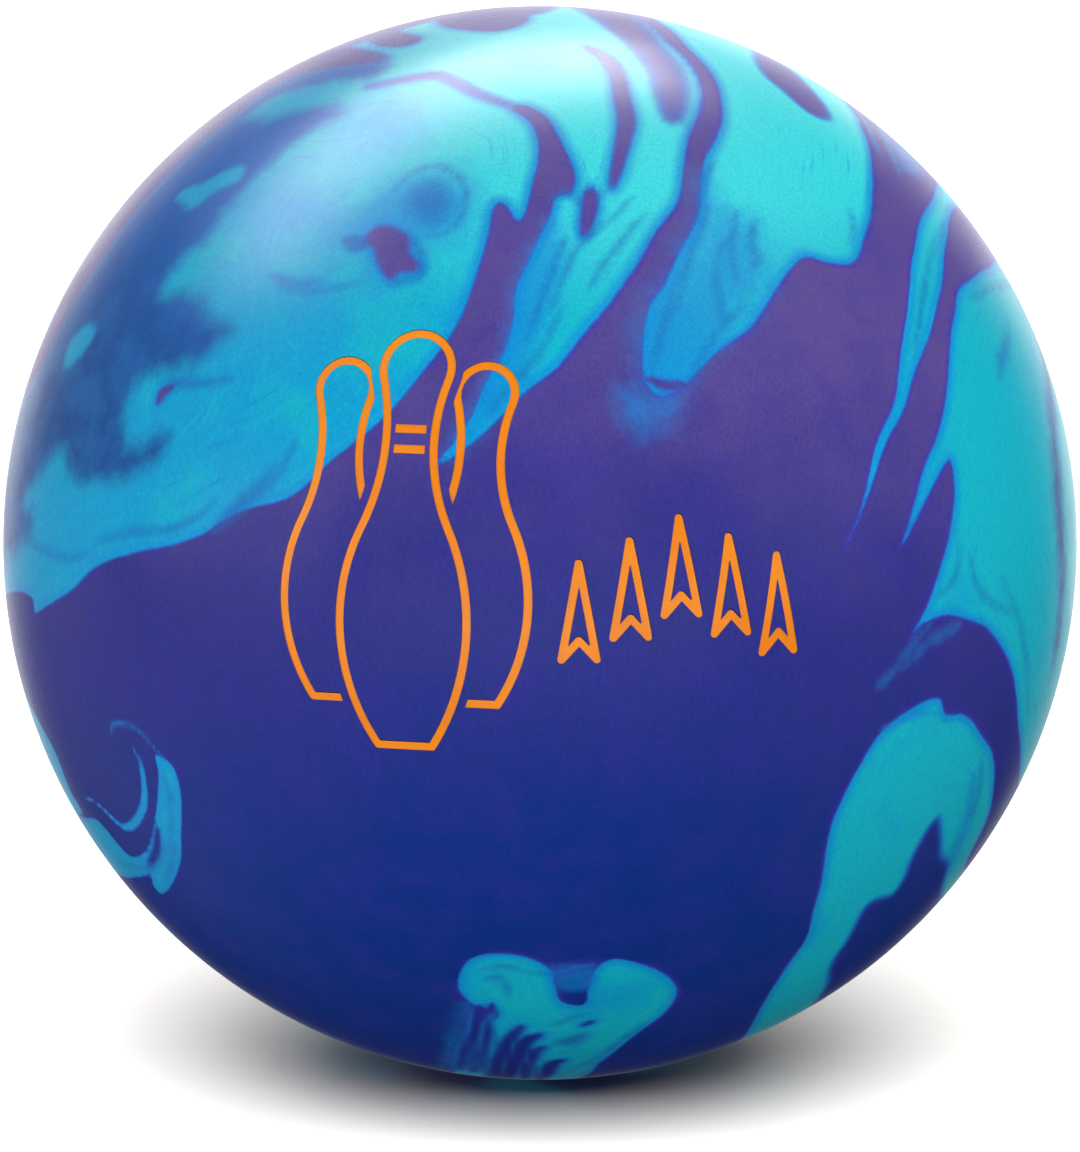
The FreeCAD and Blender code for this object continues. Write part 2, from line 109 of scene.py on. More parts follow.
STROKES = [
    # the left cloud and the middle tongue, one sheet of teal that passes over the top
    area(TEAL, 0.55, [
        (-1.08, -0.10), (-0.99, -0.088), (-0.948, -0.10), (-0.941, -0.13), (-0.904, -0.109), (-0.87, -0.09),
        (-0.83, -0.05), (-0.747, -0.015), (-0.665, 0.0), (-0.57, 0.047), (-0.46, 0.095), (-0.37, 0.163),
        (-0.288, 0.238), (-0.21, 0.327), (-0.162, 0.402), (-0.117, 0.49), (-0.097, 0.566), (-0.088, 0.625),
        (-0.068, 0.63), (-0.042, 0.597), (-0.015, 0.655), (0.0, 0.717), (-0.012, 0.775), (-0.055, 0.81),
        (-0.03, 0.815), (0.0, 0.80), (0.02, 0.778), (0.042, 0.737), (0.067, 0.69), (0.06, 0.655),
        (0.03, 0.645), (0.015, 0.607), (-0.008, 0.566), (-0.028, 0.518), (-0.049, 0.464), (-0.055, 0.416),
        (-0.07, 0.354), (-0.097, 0.30), (-0.124, 0.245), (-0.163, 0.19), (-0.195, 0.145), (-0.15, 0.17),
        (-0.083, 0.225), (-0.022, 0.279), (0.026, 0.32), (0.067, 0.368), (0.115, 0.423), (0.156, 0.484),
        (0.197, 0.546), (0.232, 0.60), (0.256, 0.642), (0.269, 0.69), (0.276, 0.744), (0.293, 0.785),
        (0.303, 0.826), (0.293, 0.867), (0.266, 0.908), (0.225, 0.945), (0.17, 0.984), (0.10, 1.12),
        (-0.25, 1.18), (-0.65, 0.98), (-0.95, 0.62), (-1.12, 0.28), (-1.14, 0.05),
    ]),
    # the right tongue
    area(TEAL, 0.55, [
        (0.197, 0.984), (0.252, 0.943), (0.293, 0.902), (0.327, 0.854), (0.338, 0.813), (0.33, 0.76),
        (0.307, 0.717), (0.30, 0.655), (0.286, 0.60), (0.266, 0.546), (0.232, 0.484), (0.204, 0.443),
        (0.192, 0.395), (0.19, 0.341), (0.195, 0.30), (0.225, 0.275), (0.262, 0.29), (0.30, 0.325),
        (0.341, 0.36), (0.389, 0.392), (0.416, 0.43), (0.444, 0.477), (0.471, 0.512), (0.50, 0.532),
        (0.539, 0.522), (0.58, 0.522), (0.601, 0.553), (0.614, 0.614), (0.618, 0.683), (0.611, 0.744),
        (0.594, 0.785), (0.56, 0.83), (0.58, 0.98), (0.40, 1.12), (0.20, 1.10),
    ]),
    # the thin tongue beside it
    area(TEAL, 0.45, [
        (0.738, 0.669), (0.714, 0.614), (0.697, 0.546), (0.686, 0.47), (0.676, 0.395), (0.666, 0.306),
        (0.649, 0.245), (0.621, 0.17), (0.594, 0.06), (0.568, -0.01), (0.606, 0.08), (0.642, 0.177),
        (0.669, 0.238), (0.703, 0.327), (0.731, 0.409), (0.751, 0.491), (0.758, 0.566), (0.768, 0.62),
        (0.83, 0.68), (0.80, 0.76),
    ]),
    # the long tongue on the right edge
    area(TEAL, 0.55, [
        (0.84, 0.518), (0.786, 0.481), (0.772, 0.43), (0.761, 0.368), (0.755, 0.286), (0.738, 0.204),
        (0.717, 0.135), (0.69, 0.053), (0.669, -0.01), (0.70, 0.045), (0.735, 0.105), (0.762, 0.155),
        (0.771, 0.088), (0.762, 0.02), (0.745, -0.042), (0.72, -0.12), (0.688, -0.18), (0.715, -0.15),
        (0.76, -0.136), (0.813, -0.151), (0.846, -0.177), (0.874, -0.225), (0.887, -0.287), (0.893, -0.369),
        (0.893, -0.445), (0.99, -0.42), (1.10, -0.2), (1.12, 0.1), (1.05, 0.4), (0.93, 0.55),
    ]),
    # the drop at the lower right
    area(TEAL, 0.5, [
        (0.738, -0.287), (0.682, -0.315), (0.628, -0.356), (0.587, -0.424), (0.56, -0.486), (0.539, -0.54),
        (0.526, -0.609), (0.511, -0.678), (0.491, -0.739), (0.45, -0.806), (0.409, -0.868), (0.36, -0.935),
        (0.40, -1.05), (0.62, -0.95), (0.78, -0.72), (0.775, -0.64), (0.80, -0.585), (0.837, -0.50),
        (0.845, -0.404), (0.826, -0.356), (0.792, -0.322), (0.755, -0.318),
    ]),
    # the blob at the bottom, with a streaky stem
    area(TEAL, 0.55, [
        (-0.155, -0.828), (-0.145, -0.793), (-0.117, -0.769), (-0.062, -0.766), (-0.014, -0.776),
        (0.018, -0.795), (0.03, -0.825), (0.042, -0.855), (0.082, -0.86), (0.088, -0.83), (0.098, -0.795),
        (0.136, -0.775), (0.197, -0.788), (0.238, -0.81), (0.252, -0.841),
        (0.231, -0.876), (0.177, -0.917), (0.115, -0.965), (0.06, -1.02), (-0.02, -1.10), (-0.17, -1.06),
        (-0.155, -0.98), (-0.124, -0.92), (-0.10, -0.87), (-0.13, -0.857),
    ]),
    # the hooked curl at the lower left
    area(TEAL, 0.45, [
        (-0.716, -0.393), (-0.695, -0.403), (-0.678, -0.424), (-0.668, -0.465), (-0.666, -0.54),
        (-0.668, -0.595), (-0.685, -0.636), (-0.705, -0.653), (-0.719, -0.64), (-0.723, -0.616),
        (-0.743, -0.626), (-0.774, -0.622), (-0.82, -0.61), (-0.90, -0.52), (-0.849, -0.51), (-0.83, -0.512),
        (-0.808, -0.534), (-0.781, -0.568), (-0.76, -0.585), (-0.74, -0.575), (-0.726, -0.554),
        (-0.719, -0.513), (-0.712, -0.458), (-0.71, -0.424),
    ]),
    line(TEAL, 0.6, 2.0, [
        (-0.772, -0.365), (-0.75, -0.397), (-0.74, -0.438), (-0.739, -0.486), (-0.753, -0.518),
        (-0.777, -0.526), (-0.801, -0.508), (-0.828, -0.482), (-0.86, -0.465),
    ]),
    line(BLUE, 0.5, 0.7, [
        (-0.802, -0.36), (-0.796, -0.338), (-0.77, -0.338), (-0.74, -0.355), (-0.712, -0.385),
        (-0.685, -0.42),
    ]),
    area(TEAL, 0.5, [
        (-0.95, -0.30), (-0.924, -0.349), (-0.897, -0.404), (-0.873, -0.465), (-0.855, -0.50),
        (-0.93, -0.52), (-1.02, -0.36), (-0.99, -0.28),
    ]),
    # the deep blue smoke behind the cloud, out to the upper left edge
    area(DEEP, 2.2, [
        (-1.02, -0.03), (-0.985, -0.015), (-0.945, 0.03), (-0.962, 0.08), (-0.924, 0.142), (-0.893, 0.172),
        (-0.866, 0.128), (-0.80, 0.12), (-0.735, 0.14), (-0.692, 0.192), (-0.715, 0.195), (-0.733, 0.176),
        (-0.767, 0.18), (-0.777, 0.224), (-0.76, 0.286), (-0.726, 0.32), (-0.678, 0.324), (-0.623, 0.348),
        (-0.579, 0.392), (-0.617, 0.419), (-0.637, 0.464), (-0.70, 0.47), (-0.678, 0.519), (-0.623, 0.566),
        (-0.58, 0.628), (-0.514, 0.703), (-0.425, 0.765), (-0.36, 0.808), (-0.44, 0.808), (-0.514, 0.784),
        (-0.54, 0.794), (-0.50, 0.828), (-0.425, 0.852), (-0.322, 0.866), (-0.28, 0.888), (-0.302, 0.908),
        (-0.37, 0.908), (-0.43, 0.905), (-0.50, 0.93), (-0.85, 0.75), (-1.08, 0.45), (-1.15, 0.15),
    ]),
    area(PURPLE, 1.0, [
        (-0.332, 0.942), (-0.30, 0.95), (-0.25, 0.948), (-0.222, 0.938), (-0.25, 0.926), (-0.30, 0.928),
    ]),
    area(PURPLE, 0.9, [
        (-0.19, 0.985), (-0.12, 0.995), (-0.05, 0.99), (-0.025, 0.972), (-0.06, 0.956), (-0.13, 0.955),
        (-0.18, 0.966),
    ]),
    area(TEAL, 0.9, [
        (-0.678, 0.636), (-0.668, 0.655), (-0.622, 0.675), (-0.56, 0.70), (-0.56, 0.675), (-0.61, 0.65),
        (-0.65, 0.62),
    ]),
    area(TEAL, 1.0, [
        (-0.842, 0.409), (-0.829, 0.389), (-0.856, 0.348), (-0.885, 0.327), (-0.877, 0.368),
    ]),
    # violet-blue along the upper left edge
    area(PURPLE, 3.5, [
        (-1.04, 0.10), (-0.97, 0.24), (-0.92, 0.35), (-0.85, 0.48), (-0.76, 0.61), (-0.66, 0.72),
        (-0.54, 0.82), (-0.43, 0.895), (-0.30, 0.945), (-0.16, 0.98), (-0.02, 0.985), (0.02, 1.02),
        (-0.10, 1.10), (-0.45, 1.05), (-0.85, 0.80), (-1.10, 0.40),
    ]),
    area(PURPLE, 1.6, [
        (-0.60, 0.80), (-0.54, 0.835), (-0.45, 0.872), (-0.36, 0.888), (-0.30, 0.898), (-0.31, 0.91),
        (-0.42, 0.912), (-0.54, 0.87),
    ]),
    # marks inside the cloud
    area(BLUE, 4.0, [
        (-0.42, 0.60), (-0.33, 0.64), (-0.24, 0.69), (-0.17, 0.695), (-0.13, 0.65), (-0.14, 0.585),
        (-0.20, 0.56), (-0.25, 0.50), (-0.31, 0.49), (-0.36, 0.54),
    ]),
    area(STREAK, 3.5, [(-0.25, 0.632), (-0.20, 0.672), (-0.155, 0.632), (-0.20, 0.59)]),
    line(STREAK, 1.5, 1.3, [
        (-0.27, 0.655), (-0.23, 0.693), (-0.18, 0.70), (-0.147, 0.67), (-0.14, 0.625), (-0.165, 0.585),
        (-0.205, 0.57),
    ]),
    area(PURPLE, 1.3, [
        (-0.325, 0.566), (-0.295, 0.588), (-0.262, 0.582), (-0.243, 0.566), (-0.246, 0.54),
        (-0.231, 0.508), (-0.262, 0.504), (-0.282, 0.492), (-0.302, 0.52), (-0.306, 0.545),
    ]),
    line(STREAK, 1.5, 2.0, [
        (-0.235, 0.565), (-0.222, 0.53), (-0.226, 0.495), (-0.255, 0.487), (-0.285, 0.478),
    ]),
    area(STREAK, 0.9, [
        (-0.375, 0.567), (-0.35, 0.575), (-0.315, 0.562), (-0.325, 0.545), (-0.355, 0.538),
    ]),
    line(STREAK, 1.5, 2.4, [(-0.505, 0.50), (-0.475, 0.488), (-0.44, 0.482), (-0.40, 0.486)]),
    line(STREAK, 1.5, 1.3, [(-0.49, 0.478), (-0.45, 0.468), (-0.40, 0.47), (-0.34, 0.483)]),
    line(STREAK, 1.5, 2.2, [(-0.705, 0.262), (-0.69, 0.29), (-0.66, 0.30), (-0.62, 0.298), (-0.57, 0.305)]),
    line(PURPLE, 1.0, 1.5, [(-0.71, 0.258), (-0.70, 0.28), (-0.68, 0.293)]),
    line(STREAK, 1.6, 3.2, [(-0.49, 0.15), (-0.53, 0.095), (-0.575, 0.05), (-0.61, 0.02)]),
    line(STREAK, 1.5, 1.3, [(-0.455, 0.19), (-0.475, 0.15), (-0.52, 0.09), (-0.56, 0.055)]),
    line(STREAK, 1.5, 1.6, [(-0.60, 0.075), (-0.68, 0.03), (-0.76, 0.02), (-0.83, 0.0)]),
    line(STREAK, 1.5, 1.4, [(-0.98, 0.04), (-0.93, -0.01), (-0.88, -0.03), (-0.83, -0.02)]),
    # marks inside the middle tongue
    line(PURPLE, 1.8, 1.2, [(-0.322, 0.85), (-0.24, 0.864), (-0.186, 0.868), (-0.124, 0.84), (-0.05, 0.812)]),
    line(PURPLE, 1.0, 2.8, [
        (0.085, 0.925), (0.125, 0.90), (0.15, 0.845), (0.158, 0.785), (0.155, 0.725), (0.136, 0.66),
    ]),
    line(PURPLE, 1.0, 2.6, [(0.096, 0.66), (0.092, 0.63), (0.082, 0.575)]),
    line(STREAK, 1.5, 1.3, [(0.02, 0.64), (0.05, 0.655), (0.08, 0.63), (0.12, 0.655)]),
    line(STREAK, 1.5, 1.3, [(0.175, 0.645), (0.135, 0.605), (0.08, 0.56), (0.04, 0.49), (0.02, 0.43)]),
    line(STREAK, 1.5, 1.3, [(0.20, 0.615), (0.165, 0.575), (0.12, 0.52), (0.09, 0.47)]),
    line(STREAK, 1.5, 1.3, [(0.05, 0.57), (0.03, 0.53), (0.0, 0.45), (-0.03, 0.38)]),
    line(STREAK, 1.5, 1.3, [(0.04, 0.43), (0.0, 0.36), (-0.05, 0.29), (-0.10, 0.235)]),
    area(BLUE, 9.0, [(-0.34, 0.78), (-0.29, 0.82), (-0.23, 0.80), (-0.24, 0.75), (-0.30, 0.735)]),
    area(BLUE, 9.0, [(-0.50, 0.63), (-0.45, 0.67), (-0.40, 0.65), (-0.42, 0.60), (-0.47, 0.59)]),
    area(PURPLE, 4.0, [
        (0.06, 1.0), (0.13, 0.965), (0.19, 0.91), (0.225, 0.85), (0.245, 0.79), (0.262, 0.83), (0.245, 0.89),
        (0.205, 0.94), (0.15, 0.99), (0.12, 1.05),
    ]),
    area(BLUE, 2.5, [
        (0.02, 0.60), (0.05, 0.56), (0.03, 0.47), (0.0, 0.38), (-0.03, 0.31), (-0.07, 0.27), (-0.12, 0.22),
        (-0.17, 0.17), (-0.124, 0.26), (-0.07, 0.36), (-0.05, 0.46), (-0.02, 0.55),
    ]),
    # marks inside the right tongue
    area(BLUE, 4.0, [
        (0.30, 0.68), (0.34, 0.64), (0.395, 0.60), (0.42, 0.52), (0.39, 0.43), (0.32, 0.36), (0.25, 0.29),
        (0.19, 0.30), (0.18, 0.40), (0.23, 0.48), (0.28, 0.57),
    ]),
    area(PURPLE, 2.2, [
        (0.40, 0.92), (0.45, 0.89), (0.50, 0.845), (0.532, 0.80), (0.51, 0.80), (0.46, 0.84), (0.42, 0.88),
    ]),
    line(STREAK, 1.5, 1.8, [(0.402, 0.605), (0.396, 0.565), (0.402, 0.53), (0.395, 0.50)]),
    line(STREAK, 1.5, 1.3, [(0.342, 0.56), (0.33, 0.49), (0.338, 0.44), (0.345, 0.395)]),
    line(STREAK, 1.5, 1.3, [(0.365, 0.62), (0.358, 0.55), (0.37, 0.48)]),
    line(STREAK, 1.5, 1.3, [(0.31, 0.63), (0.29, 0.55), (0.265, 0.48), (0.24, 0.42)]),
    line(STREAK, 1.5, 1.3, [(0.262, 0.50), (0.235, 0.43), (0.22, 0.37), (0.207, 0.32)]),
    line(STREAK, 1.5, 1.3, [(0.38, 0.44), (0.34, 0.40), (0.30, 0.345), (0.28, 0.31)]),
    line(STREAK, 1.5, 1.3, [(0.29, 0.60), (0.305, 0.67), (0.33, 0.72)]),
    line(STREAK, 1.5, 1.3, [(0.577, 0.62), (0.585, 0.585), (0.578, 0.55)]),
    line(PURPLE, 1.0, 1.5, [(0.198, 0.306), (0.232, 0.296), (0.272, 0.298)]),
    line(BLUE, 1.2, 1.8, [(0.168, 0.30), (0.17, 0.258), (0.205, 0.238), (0.242, 0.248), (0.276, 0.285)]),
    area(BLUE, 3.5, [(0.15, 0.28), (0.165, 0.225), (0.20, 0.205), (0.24, 0.235), (0.25, 0.27), (0.21, 0.28)]),
    # streaks at the upper right edge
    line(BLUE, 0.7, 1.6, [(0.575, 0.84), (0.61, 0.775), (0.637, 0.71)]),
    line(BLUE, 0.7, 2.2, [(0.625, 0.79), (0.65, 0.74), (0.672, 0.68)]),
    area(BLUE, 1.5, [(0.66, 0.745), (0.70, 0.715), (0.715, 0.69), (0.68, 0.69)]),
    # marks inside the thin tongue and the right edge's tongue
    line(STREAK, 1.5, 1.3, [(0.752, 0.60), (0.73, 0.53), (0.712, 0.45), (0.698, 0.37)]),
    line(DEEP, 2.6, 6.0, [(0.93, 0.42), (0.95, 0.27), (0.965, 0.10), (0.972, -0.08), (0.955, -0.24)]),
    area(STREAK, 2.5, [(0.855, 0.36), (0.875, 0.40), (0.87, 0.34), (0.85, 0.31)]),
    line(STREAK, 1.5, 1.6, [(0.80, 0.455), (0.84, 0.475), (0.88, 0.48)]),
    line(STREAK, 1.5, 1.4, [(0.80, -0.02), (0.812, -0.07), (0.84, -0.11), (0.875, -0.13)]),
    line(STREAK, 1.5, 1.3, [(0.775, 0.03), (0.78, -0.03), (0.765, -0.075), (0.74, -0.10)]),
    line(STREAK, 1.5, 1.3, [(0.86, -0.06), (0.89, -0.14), (0.905, -0.22), (0.91, -0.32)]),
    line(BLUE, 1.4, 1.0, [(0.725, -0.15), (0.69, -0.195), (0.66, -0.235), (0.635, -0.26)]),
    line(BLUE, 1.4, 0.8, [(0.78, -0.155), (0.73, -0.18), (0.70, -0.21), (0.68, -0.23)]),
    # marks inside the drop
    area(PURPLE, 2.0, [
        (0.736, -0.518), (0.70, -0.58), (0.68, -0.625), (0.655, -0.66), (0.61, -0.68), (0.58, -0.735),
        (0.545, -0.795), (0.515, -0.86), (0.56, -0.83), (0.65, -0.765), (0.715, -0.70), (0.75, -0.63),
        (0.757, -0.602), (0.742, -0.585), (0.742, -0.547),
    ]),
    line(BLUE, 1.5, 3.5, [(0.81, -0.42), (0.80, -0.50), (0.775, -0.57), (0.76, -0.62)]),
    line(STREAK, 1.5, 1.3, [(0.823, -0.39), (0.818, -0.46), (0.80, -0.52)]),
    line(BLUE, 1.0, 1.6, [(0.635, -0.345), (0.68, -0.33), (0.72, -0.315), (0.76, -0.33)]),
    # marks inside the blob
    area(BLUE, 1.3, [(0.015, -0.795), (0.055, -0.788), (0.10, -0.788), (0.092, -0.83), (0.042, -0.832)]),
    line(TEAL, 1.2, 0.9, [(0.015, -0.805), (0.055, -0.793), (0.105, -0.782)]),
    line(STREAK, 1.5, 1.5, [(0.02, -0.90), (0.055, -0.885), (0.095, -0.875)]),
    line(PURPLE, 1.2, 1.0, [(0.075, -0.90), (0.097, -0.891)]),
    area(STREAK, 2.0, [(0.02, -0.935), (0.055, -0.916), (0.09, -0.914), (0.07, -0.936)]),
    line(PURPLE, 1.6, 3.0, [(0.0, -0.915), (-0.03, -0.935), (-0.055, -0.98), (-0.07, -1.02)]),
    line(PURPLE, 1.6, 2.4, [(-0.035, -0.90), (-0.065, -0.935), (-0.085, -0.98), (-0.095, -1.02)]),
    line(PURPLE, 1.6, 1.6, [(0.01, -0.94), (-0.015, -0.96), (-0.035, -1.0)]),
    line(PURPLE, 1.4, 2.2, [(0.045, -0.962), (0.02, -0.975), (-0.005, -1.0)]),
    line(STREAK, 1.5, 1.9, [(-0.105, -0.814), (-0.075, -0.81), (-0.06, -0.825), (-0.06, -0.848)]),
    line(PURPLE, 1.2, 1.2, [(-0.092, -0.858), (-0.085, -0.885)]),
    line(STREAK, 1.5, 1.3, [(-0.12, -0.80), (-0.07, -0.79), (-0.02, -0.80), (0.03, -0.805)]),
    line(PURPLE, 1.8, 1.5, [(-0.118, -0.87), (-0.128, -0.92), (-0.15, -0.98)]),
    line(PURPLE, 1.8, 1.2, [(-0.10, -0.885), (-0.105, -0.93), (-0.125, -0.985)]),
    line(STREAK, 1.5, 1.3, [(0.20, -0.89), (0.15, -0.925), (0.10, -0.96), (0.04, -0.99)]),
    line(BLUE, 2.0, 1.4, [(-0.14, -0.86), (-0.155, -0.90), (-0.165, -0.95), (-0.185, -1.0)]),
    line(TEAL, 1.4, 0.8, [(-0.13, -0.87), (-0.142, -0.92), (-0.165, -0.98)]),
    # marks inside the curl
    line(STREAK, 1.5, 1.3, [(-0.70, -0.42), (-0.69, -0.47), (-0.688, -0.53), (-0.692, -0.60)]),
    line(STREAK, 1.5, 1.3, [(-0.70, -0.55), (-0.71, -0.59), (-0.74, -0.605), (-0.78, -0.60)]),
    line(STREAK, 1.5, 1.3, [(-0.68, -0.56), (-0.685, -0.60), (-0.70, -0.63)]),
    line(PURPLE, 1.0, 1.5, [(-0.73, -0.60), (-0.715, -0.575), (-0.712, -0.53)]),
]


def unit(vectors):
    return vectors / np.linalg.norm(vectors, axis=-1, keepdims=True)


def side_axes(side):
    """Right, towards the viewer, and up, for a viewer on that side of the ball."""
    heading, elevation = (math.radians(angle) for angle in side)
    turn = Matrix.Rotation(heading, 3, "Z") @ Matrix.Rotation(-elevation, 3, "X")
    return [np.array(turn @ Vector(axis)) for axis in ((1, 0, 0), (0, -1, 0), (0, 0, 1))]


def flat_place(points):
    """Where (right, up) points of a stroke lie on the plane that the ball is rolled out on."""
    limb = math.acos(BALL_RADIUS / CAMERA_DISTANCE)
    widest = math.asin(BALL_RADIUS / CAMERA_DISTANCE)
    points = np.array(points, float)
    reach = np.linalg.norm(points, axis=1)
    seen = np.minimum(reach, 1)
    ray = np.arctan(seen * math.tan(widest))
    angle = np.arcsin(np.minimum(np.sin(ray) / math.sin(widest), 1)) - ray
    angle += np.maximum(reach - 1, 0) * math.pi / 2
    return points * (np.tan(angle / 2) / np.maximum(reach, 1e-9))[:, None]


def rolled_out(directions, side):
    """Stereographic place of each direction, seen from a side, and millimetres to one unit of it."""
    right, towards, up = side_axes(side)
    depth = 1 + directions @ towards
    depth = np.maximum(depth, 1e-4)
    places = np.stack([directions @ right, directions @ up], axis=1) / depth[:, None]
    return places, BALL_RADIUS / MM * depth


def smooth_curve(points, closed, steps=6):
    """A Catmull-Rom curve through points."""
    count = len(points)
    if closed:
        padded = np.concatenate([points[-1:], points, points[:2]])
        spans = count
    else:
        ends = [2 * points[:1] - points[1:2], points, 2 * points[-1:] - points[-2:-1]]
        padded = np.concatenate(ends)
        spans = count - 1
    t = (np.arange(steps) / steps)[None, :, None]
    a, b, c, d = (padded[k : k + spans, None, :] for k in range(4))
    curve = 0.5 * (2 * b + (c - a) * t + (2 * a - 5 * b + 4 * c - d) * t**2 + (3 * b - 3 * c + d - a) * t**3)
    curve = curve.reshape(-1, 2)
    return curve if closed else np.concatenate([curve, points[-1:]])


def nearest(places, starts, ends):
    """Distance from each place to the nearest of the spans, and which point along them all it is."""
    best = np.full(len(places), 1e9)
    along = np.zeros(len(places))
    for number, (start, end) in enumerate(zip(starts, ends)):
        span = end - start
        share = np.clip(((places - start) @ span) / max(span @ span, 1e-12), 0, 1)
        distance = np.linalg.norm(places - start - share[:, None] * span, axis=1)
        closer = distance < best
        best[closer] = distance[closer]
        along[closer] = (number + share[closer]) / len(starts)
    return best, along


def inside(places, starts, ends):
    """Whether each place is inside the closed outline that the spans make."""
    crossings = np.zeros(len(places), int)
    for start, end in zip(starts, ends):
        spans_level = (start[1] > places[:, 1]) != (end[1] > places[:, 1])
        level = end[1] - start[1]
        if level == 0:
            continue
        across = start[0] + (places[:, 1] - start[1]) * (end[0] - start[0]) / level
        crossings += spans_level & (places[:, 0] < across)
    return crossings % 2 == 1


def stroke_distance(stroke, directions):
    """Millimetres from each direction into the stroke, negative outside."""
    places, scale = rolled_out(directions, stroke["side"])
    closed = stroke["width"] is None
    curve = smooth_curve(flat_place(stroke["points"]), closed)
    starts, ends = (curve, np.roll(curve, -1, axis=0)) if closed else (curve[:-1], curve[1:])
    distance, along = nearest(places, starts, ends)
    distance = distance * scale
    if closed:
        return np.where(inside(places, starts, ends), distance, -distance)
    return stroke["width"] / 2 * np.sqrt(np.sin(np.pi * along)) - distance


COVERS = {
    TEAL: (BLUE, STREAK, DEEP, PURPLE),
    BLUE: (),
    STREAK: (),
    DEEP: (PURPLE,),
    PURPLE: (TEAL, BLUE, STREAK, DEEP),
}


def painted(directions):
    """The swirl's fields, each in multiples of an edge's softness, and the distance to the teal's edge."""
    far = np.full(len(directions), -9.0)
    field = {colour: far.copy() for colour in (TEAL, BLUE, STREAK, DEEP, PURPLE)}
    edge = np.full(len(directions), -99.0)
    for stroke in STROKES:
        distance = stroke_distance(stroke, directions)
        level = np.clip(distance / stroke["soft"], -9, 9)
        colour = stroke["colour"]
        over = COVERS[colour]
        field[colour] = np.maximum(field[colour], level)
        for covered in over:
            field[covered] = np.minimum(field[covered], -level)
        if colour == TEAL:
            edge = np.maximum(edge, distance)
        if colour == PURPLE:
            edge = np.minimum(edge, -distance)
    return field, edge


def wander(directions, size, reach, seed):
    """Directions moved by smooth noise of this size, by up to about reach, both in millimetres."""
    shift = Vector((seed * 7.1, seed * 3.7, seed * 5.3))
    scale = BALL_RADIUS / MM / size
    moves = np.array([noise.noise_vector(Vector(d) * scale + shift) for d in directions])
    return unit(directions + moves * reach * MM / BALL_RADIUS)


def bumps(directions, size, seed):
    """Smooth noise from about -0.7 to 0.7 with features of this many millimetres."""
    scale = BALL_RADIUS / MM / size
    shift = Vector((seed * 4.3, seed * 9.1, seed * 2.9))
    return np.array([noise.noise(Vector(d) * scale + shift) for d in directions])


def teal_hills(directions):
    """Hills that stand above nought where the swirl behind is teal, and the directions that bend them."""
    bent = wander(directions, 60, 55, seed=1)
    bent = wander(bent, 28, 20, seed=2)
    return (bumps(bent * (1.5, 1.5, 0.62), 46, seed=0) - 0.06) * 60, bent


def marbled(directions):
    """A swirl that nobody drew, for the side of the ball that the strokes leave: its fields."""
    hills, bent = teal_hills(directions)
    east = unit(np.cross(directions, (0.3, 0.2, 1.0)))
    steps = [side * PROBE_STEP / BALL_RADIUS for side in (east, np.cross(directions, east))]
    rises = [teal_hills(unit(directions + step))[0] - hills for step in steps]
    steepness = np.hypot(*rises) / (PROBE_STEP / MM)
    edge = hills / np.maximum(steepness * 1.4, 1)
    smoke = bumps(bent, 30, seed=3)
    threads = bumps(bent, 24, seed=5)
    return edge, {
        TEAL: np.clip(edge, -9, 9),
        BLUE: np.where(edge > 0, (threads + 0.05) * 6, -3),
        STREAK: 1.2 - np.abs(edge - 4.5) * 0.9 + (threads - 0.15) * 5,
        DEEP: (smoke - 0.22) * 14,
        PURPLE: np.full(len(directions), -3.0),
    }


# ---- coverstock mesh -----------------------------------------------------------------------------------
def cube_sphere(steps):
    """Directions and quads of a cube blown up into a sphere, with the same step angle all over."""
    grid = np.arange(-steps, steps + 1, 2)
    a, b = (axis.ravel() for axis in np.meshgrid(grid, grid, indexing="ij"))
    side = np.full_like(a, steps)
    faces = []
    for axis in range(3):
        for sign in (-1, 1):
            columns = [None] * 3
            columns[axis] = sign * side
            columns[(axis + 1) % 3] = a
            columns[(axis + 2) % 3] = sign * b
            faces.append(np.stack(columns, axis=1))
    lattice, index = np.unique(np.concatenate(faces), axis=0, return_inverse=True)
    index = index.ravel().reshape(6, steps + 1, steps + 1)
    quads = np.stack(
        [index[:, :-1, :-1], index[:, 1:, :-1], index[:, 1:, 1:], index[:, :-1, 1:]], axis=-1
    ).reshape(-1, 4)
    return unit(np.tan(lattice / steps * math.pi / 4)), quads


def gathered(directions, towards, strength):
    """Directions drawn together on one side of the ball, so that a mesh is finer there."""
    along = directions @ towards
    across = directions - along[:, None] * towards
    width = np.linalg.norm(across, axis=1)
    angle = 2 * np.arctan2(np.sqrt(np.maximum(1 - along, 0)), strength * np.sqrt(np.maximum(1 + along, 0)))
    across /= np.maximum(width, 1e-9)[:, None]
    return unit(np.cos(angle)[:, None] * towards + np.sin(angle)[:, None] * across)


def mesh_object(name, vertices, faces):
    mesh = bpy.data.meshes.new(name)
    mesh.from_pydata(vertices.tolist(), [], faces.tolist())
    mesh.validate()
    made = bpy.data.objects.new(name, mesh)
    bpy.context.scene.collection.objects.link(made)
    return made


